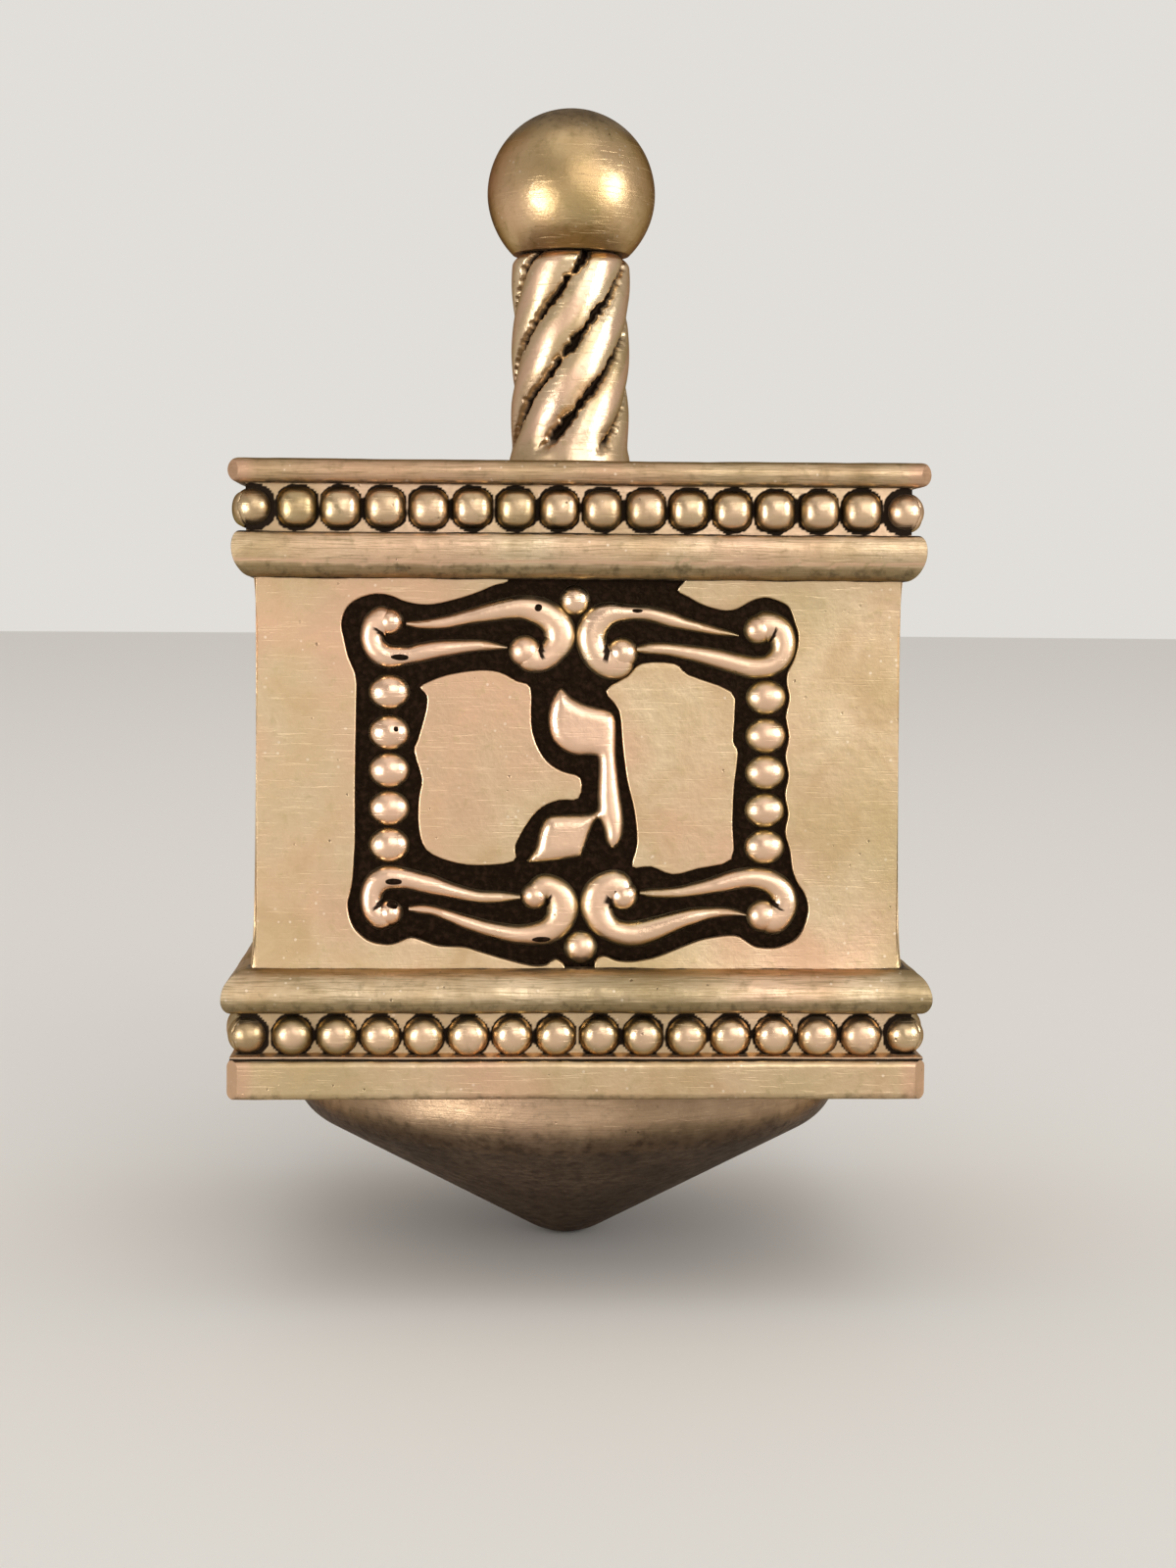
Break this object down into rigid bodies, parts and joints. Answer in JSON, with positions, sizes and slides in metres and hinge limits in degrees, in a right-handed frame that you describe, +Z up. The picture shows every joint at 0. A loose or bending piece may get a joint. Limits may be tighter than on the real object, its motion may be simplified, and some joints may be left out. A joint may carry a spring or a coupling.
{
  "type": "dreidel",
  "caption": "Square spinning top of cast metal panels with enamelled scrollwork and letters, beaded and moulded trim, a conical tip and a twisted grip with a ball.",
  "frame": {"origin": "the point of the tip, on the spin axis", "axes": "+Z up the spin axis towards the ball; -Y out of the front panel, the one with the gimel; +X out of the right panel"},
  "size_m": [0.0498, 0.0498, 0.0878],
  "materials": {
    "antique_silver": "satin cast metal, darkened in its hollows",
    "tarnished_silver": "satin, evenly tarnished",
    "black_enamel": "grainy semi-gloss",
    "fixing_steel": "plain turned"
  },
  "bodies": {
    "root": {"top_plate": "antique_silver", "base_plate": "antique_silver", "tip_cone": "tarnished_silver", "twisted_stem": "antique_silver", "ball_knob": "tarnished_silver", "ball_dowel": "fixing_steel", "stem_stud": "fixing_steel", "stem_nut": "fixing_steel", "stem_washer": "fixing_steel", "front_panel": "antique_silver", "right_panel": "antique_silver", "back_panel": "antique_silver", "left_panel": "antique_silver", "front_enamel": "black_enamel", "right_enamel": "black_enamel", "back_enamel": "black_enamel", "left_enamel": "black_enamel", "front_upper_moulding": "antique_silver", "right_upper_moulding": "antique_silver", "back_upper_moulding": "antique_silver", "left_upper_moulding": "antique_silver", "front_lower_moulding": "antique_silver", "right_lower_moulding": "antique_silver", "back_lower_moulding": "antique_silver", "left_lower_moulding": "antique_silver", "front_upper_beading": "antique_silver", "right_upper_beading": "antique_silver", "back_upper_beading": "antique_silver", "left_upper_beading": "antique_silver", "front_lower_beading": "antique_silver", "right_lower_beading": "antique_silver", "back_lower_beading": "antique_silver", "left_lower_beading": "antique_silver"}
  },
  "joints": []
}
